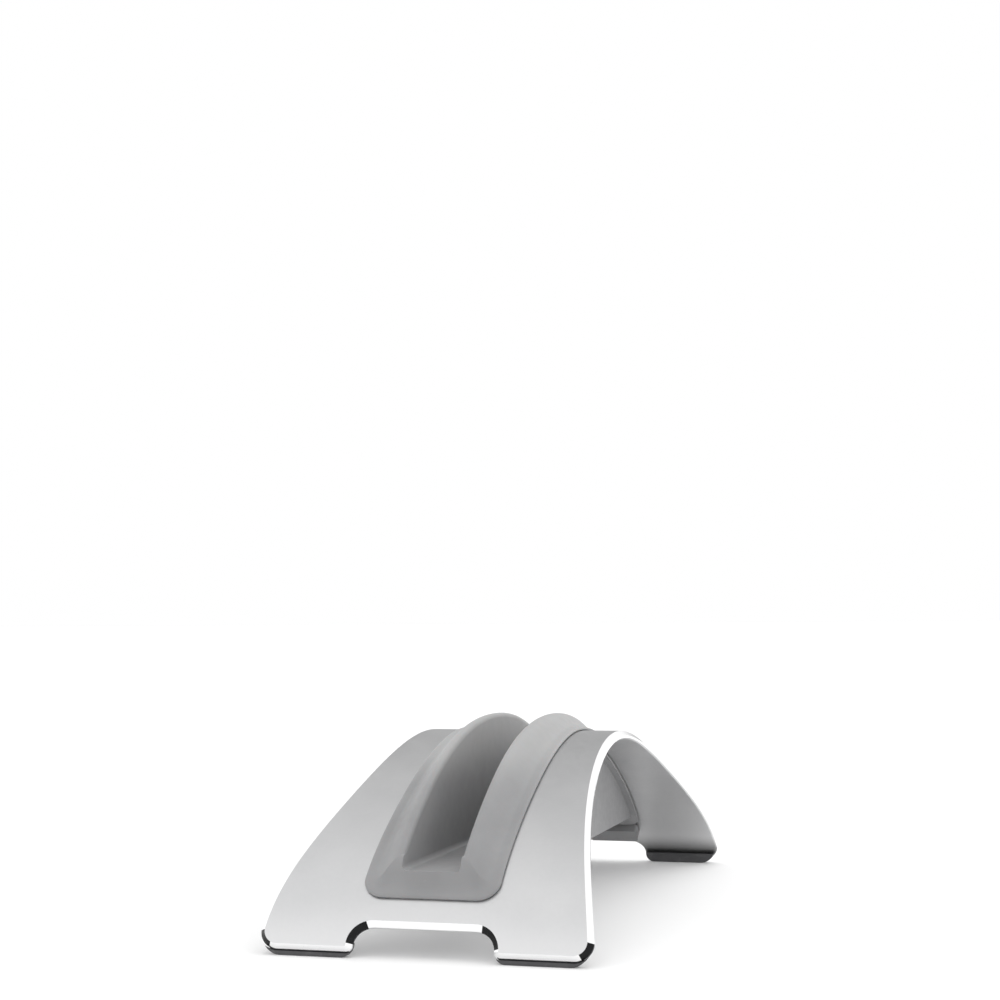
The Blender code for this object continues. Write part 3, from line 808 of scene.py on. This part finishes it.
def thread_mesh(length):
    """A stud with a rounded helical thread and a chamfered end, hanging down from z = 0."""
    rows = round(length / THREAD_PITCH * THREAD_ROWS)
    bm = bmesh.new()
    rings = []
    for row in range(rows + 1):
        depth = length * row / rows
        ring = []
        for turn in range(THREAD_SIDES):
            angle = math.tau * turn / THREAD_SIDES
            wave = 0.5 - 0.5 * math.cos(math.tau * depth / THREAD_PITCH - angle)
            radius = STUD_RADIUS - THREAD_DEPTH * wave
            radius = min(radius, STUD_RADIUS - STUD_TAPER + (length - depth))
            ring.append(bm.verts.new((radius * math.cos(angle), radius * math.sin(angle), -depth)))
        rings.append(ring)
    for upper, lower in zip(rings, rings[1:]):
        for i in range(THREAD_SIDES):
            j = (i + 1) % THREAD_SIDES
            bm.faces.new((lower[i], lower[j], upper[j], upper[i]))
    bm.faces.new(rings[0])
    bm.faces.new(reversed(rings[-1]))
    return mesh_from(bm, "stud")


def nut_mesh():
    """A hexagon nut with both faces chamfered and its hole countersunk, about z = 0."""
    half = NUT_THICKNESS / 2
    flat = NUT_ACROSS_FLATS / 2
    corner = flat / math.cos(math.radians(30))
    nut = add_piece("nut", flat_plate("nut", [circle(corner, 6)], NUT_THICKNESS))
    face = flat * NUT_FACE
    past = corner * 1.3
    drop = (past - face) * NUT_SLOPE
    cone = [(0, half), (face, half), (past, half - drop)]
    cone += [(radius, -z) for radius, z in reversed(cone)]
    boolean(nut, "INTERSECT", turned("cone", cone))
    bore = STUD_RADIUS + NUT_PLAY
    mouth = bore + NUT_COUNTERSINK
    above = half + 1 * MM
    hole = [(0, above), (mouth, above), (mouth, half), (bore, half - NUT_COUNTERSINK)]
    hole += [(radius, -z) for radius, z in reversed(hole)]
    boolean(nut, "DIFFERENCE", turned("hole", hole))
    soften(nut, NUT_EDGE, segments=1, angle=25)
    shade(nut, angle=25)
    mesh = nut.data
    bpy.data.objects.remove(nut)
    return mesh


def washer_mesh():
    half = WASHER_THICKNESS / 2
    bore = STUD_RADIUS + WASHER_PLAY
    edge = WASHER_EDGE
    section = round_corner(WASHER_RADIUS - edge, half - edge, edge, 90, 0, steps=4)
    section += round_corner(WASHER_RADIUS - edge, edge - half, edge, 0, -90, steps=4)
    section += [(bore, -half), (bore, half)]
    return turned("washer", section)


def place_copies(name, node, mesh, places, height, finish, slot, first=1):
    """One piece at each (x, arc, side), all with the same mesh, its origin at this height from the face."""
    mesh.shade_smooth()
    mesh.set_sharp_from_angle(angle=math.radians(30))
    mesh.materials.append(finish)
    for number, (x, arc, side) in enumerate(places, first):
        copy = add_piece(f"{name}_{number}", mesh)
        copy.matrix_world = face_frame(x, arc, side, height)
        dress(copy, "stand", slot, None, f"{node}_{number}")


def make_fasteners(aluminium, steel):
    ear_underside = -SHEET - FLANGE_THICKNESS - GAP
    washer_middle = ear_underside - GAP - WASHER_THICKNESS / 2
    nut_middle = washer_middle - WASHER_THICKNESS / 2 - GAP - NUT_THICKNESS / 2
    stud_top = -SHEET - GAP
    catch_places = [(x, CATCH_ARC + CATCH_LENGTH / 2, 1) for x in (-CATCH_STUD_X, CATCH_STUD_X)]
    stud, short_stud = thread_mesh(STUD_LENGTH), thread_mesh(CATCH_STUD_LENGTH)
    place_copies("stud", "weld_stud", stud, ear_places(), stud_top, aluminium, "stud_aluminium")
    place_copies("stud", "weld_stud", short_stud, catch_places, stud_top, aluminium, "stud_aluminium", 5)
    place_copies("washer", "tray_washer", washer_mesh(), ear_places(), washer_middle, steel, "zinc_steel")
    place_copies("nut", "tray_nut", nut_mesh(), ear_places(), nut_middle, steel, "zinc_steel")


def cable_channel():
    """A round seat for one cable and its narrower mouth, down through the catch's lower edge."""
    lower = CATCH_LENGTH / 2
    seat_y = lower - CABLE_RADIUS - CABLE_COVER
    mouth = math.degrees(math.asin(CABLE_MOUTH_HALF_WIDTH / CABLE_RADIUS))
    seat = round_corner(0, seat_y, CABLE_RADIUS, 90 - mouth, -270 + mouth, steps=24)
    return [(CABLE_MOUTH_HALF_WIDTH, lower)] + seat + [(-CABLE_MOUTH_HALF_WIDTH, lower)]


def make_cable_catch(silicone):
    x = CATCH_HALF_WIDTH - CATCH_CORNER_RADIUS
    y = CATCH_LENGTH / 2 - CATCH_CORNER_RADIUS
    radius = CATCH_CORNER_RADIUS
    outline = round_corner(-x, -y, radius, 180, 270, steps=8)
    outline += round_corner(x, -y, radius, 270, 360, steps=8)
    outline += round_corner(x, y, radius, 0, 90, steps=8)
    outline += cable_channel()
    outline += round_corner(-x, y, radius, 90, 180, steps=8)
    catch = add_piece("catch", flat_plate("cable_catch_body", [outline], CATCH_THICKNESS))
    top = -SHEET - GAP - CATCH_BOW
    arc = CATCH_ARC + CATCH_LENGTH / 2
    catch.matrix_world = face_frame(0, arc, 1, top - CATCH_THICKNESS / 2)
    depth = CATCH_STUD_LENGTH - CATCH_BOW + GAP
    for stud in (-CATCH_STUD_X, CATCH_STUD_X):
        drill = flat_plate("drill", [circle(STUD_HOLE_RADIUS)], 2 * depth)
        boolean(catch, "DIFFERENCE", drill, face_frame(stud, arc, 1, top))
    soften(catch, CATCH_EDGE, segments=3)
    shade(catch)
    dress(catch, "stand", "liner_silicone", silicone, "cable_catch")


def pad_profile():
    """The YZ outline of a rear pad before the sheet's space is cut from it, with grip grooves below."""
    outer_y = station_at(FOOT_ARC).y - PAD_OUTER_INSET
    behind = -SHEET - GAP - HEEL_THICKNESS
    high, low = arc_at_z(HEEL_TOP_Z, behind), arc_at_z(0.0, behind)
    arcs = [high + (low - high) * i / HEEL_STEPS for i in range(HEEL_STEPS + 1)]
    back = [offset_point(station_at(arc), behind) for arc in arcs]
    back[-1] = (back[-1][0], 0.0)
    profile = [(outer_y, 0.0), (outer_y, HEEL_TOP_Z)] + back
    land = (outer_y - back[-1][0] - SOLE_GROOVES * GROOVE_WIDTH) / (SOLE_GROOVES + 1)
    for groove in range(SOLE_GROOVES):
        y = back[-1][0] + land + groove * (land + GROOVE_WIDTH)
        profile += [(y, 0.0), (y, GROOVE_DEPTH), (y + GROOVE_WIDTH, GROOVE_DEPTH), (y + GROOVE_WIDTH, 0.0)]
    return profile


def pad_front():
    """The XZ outline of a right pad, with its two lower corners rounded."""
    inner, outer = PAD_INNER_RADIUS, PAD_OUTER_RADIUS
    points = round_corner(PAD_INNER_X + inner, inner, inner, 180, 270)
    points += round_corner(PAD_OUTER_X - outer, outer, outer, 270, 360, steps=14)
    top = HEEL_TOP_Z * 2
    return points + [(PAD_OUTER_X, top), (PAD_INNER_X, top)]


def make_foot_pads(rubber):
    foot_y = station_at(FOOT_ARC).y
    reach = PAD_BLOCK_REACH
    first = add_piece("pad", prism("pad", pad_profile(), PAD_INNER_X - reach, PAD_OUTER_X + reach))
    front = prism("pad_front", pad_front(), -foot_y - reach, -foot_y + reach)
    front.transform(Matrix.Rotation(math.radians(-90), 4, "Z"))
    boolean(first, "INTERSECT", front)
    levels = [(0.0, SHEET_SPACE_TOP), (0.0, -SHEET - GAP)]
    space = bent_plate("sheet_space", lambda inset: arch_outline(inset - GAP), levels)
    apply_modifiers(space)
    boolean(first, "DIFFERENCE", space.data)
    bpy.data.objects.remove(space)
    soften(first, PAD_EDGE)
    apply_modifiers(first)
    for end, side_y in (("front", -1), ("rear", 1)):
        for hand, side_x in (("left", -1), ("right", 1)):
            mesh = first.data.copy()
            mesh.transform(Matrix.Diagonal((side_x, side_y, 1, 1)))
            if side_x * side_y < 0:
                mesh.flip_normals()
            pad = add_piece(f"pad_{end}_{hand}", mesh)
            shade(pad)
            dress(pad, "stand", "foot_rubber", rubber, f"foot_pad_{end}_{hand}")
    bpy.data.objects.remove(first)


def make_camera():
    camera = bpy.data.objects.new("camera", bpy.data.cameras.new("camera"))
    bpy.context.scene.collection.objects.link(camera)
    camera.data.lens = CAMERA_LENS
    turn = Matrix.Rotation(math.radians(CAMERA_TURN), 4, "Z")
    pitch = Matrix.Rotation(math.radians(90 + CAMERA_PITCH), 4, "X")
    roll = Matrix.Rotation(math.radians(CAMERA_ROLL), 4, "Z")
    camera.matrix_world = Matrix.Translation(CAMERA_PLACE) @ turn @ pitch @ roll
    camera.data.clip_start = 0.01
    bpy.context.scene.camera = camera


def make_floor():
    bpy.ops.mesh.primitive_plane_add(size=FLOOR_SIZE)
    floor = bpy.context.object
    floor.name = "floor"
    nodes = Nodes("pale_floor")
    colour = nodes.blend(nodes.noise(8, 2), (0.80, 0.80, 0.80), (0.81, 0.81, 0.81))
    roughness = nodes.remap(nodes.noise(20, 2), 0.3, 0.7, 0.55, 0.6)
    glow = dict(Emission_Color=(1, 1, 1, 1), Emission_Strength=FLOOR_GLOW)
    floor.data.materials.append(nodes.finish(colour, roughness, **glow))


def make_overhead_light():
    """A wide soft light above, which brightens matt surfaces and shows in no reflection."""
    data = bpy.data.lights.new("overhead", "SUN")
    data.angle = math.radians(OVERHEAD_SPREAD)
    data.energy = OVERHEAD_STRENGTH
    light = bpy.data.objects.new("overhead", data)
    bpy.context.scene.collection.objects.link(light)
    light.rotation_euler = (-Vector(OVERHEAD_FROM)).to_track_quat("-Z", "Y").to_euler()
    light.visible_glossy = False


class World:
    """The nodes of the studio's walls."""

    def __init__(self):
        world = bpy.data.worlds.new("studio")
        bpy.context.scene.world = world
        world.use_nodes = True
        self.tree = world.node_tree

    def node(self, kind, inputs, output, **settings):
        made = self.tree.nodes.new(kind)
        for name, value in settings.items():
            setattr(made, name, value)
        for name, value in inputs.items():
            if isinstance(value, (int, float)):
                made.inputs[name].default_value = value
            else:
                self.tree.links.new(value, made.inputs[name])
        return made.outputs[output]

    def ramp(self, source, low, high, to_low, to_high):
        ends = {"Value": source, "From Min": low, "From Max": high, "To Min": to_low, "To Max": to_high}
        return self.node("ShaderNodeMapRange", ends, "Result", interpolation_type="SMOOTHSTEP")

    def both(self, operation, first, second):
        return self.node("ShaderNodeMath", {0: first, 1: second}, "Value", operation=operation)


def make_studio():
    """A white backdrop, and bright walls that are dim behind on the left, as they are beside a laptop."""
    world = World()
    direction = world.node("ShaderNodeTexCoord", {}, "Generated")
    split = world.tree.nodes.new("ShaderNodeSeparateXYZ")
    world.tree.links.new(direction, split.inputs["Vector"])
    across, along = split.outputs["X"], split.outputs["Y"]
    behind = world.ramp(along, -0.1, 1, 0, 1)
    from_left = world.ramp(across, -0.6, -0.35, 0, 1)
    to_right = world.ramp(across, -0.15, 0.08, 1, 0)
    panel = world.both("MULTIPLY", behind, world.both("MULTIPLY", from_left, to_right))
    dimmed = world.both("MULTIPLY", panel, ROOM_FRONT - ROOM_BACK)
    room = world.both("SUBTRACT", ROOM_FRONT, dimmed)
    seen = world.node("ShaderNodeLightPath", {}, "Is Camera Ray")
    strength = world.node("ShaderNodeMix", {"Factor": seen, "A": room, "B": 1.0}, "Result")
    background = world.tree.nodes["Background"]
    background.inputs["Color"].default_value = (1, 1, 1, 1)
    world.tree.links.new(strength, background.inputs["Strength"])
    make_overhead_light()
    bpy.context.scene.view_settings.view_transform = "Standard"


def main():
    make_camera()
    make_arch(satin_aluminium(), polished_aluminium(), painted_dark_reflection())
    silicone, plastic = grey_silicone(), grey_plastic()
    make_liner(silicone)
    make_core(plastic)
    make_tray(plastic)
    make_cable_catch(silicone)
    make_fasteners(drawn_aluminium(), zinc_steel())
    make_foot_pads(dark_rubber())
    make_floor()
    make_studio()


main()
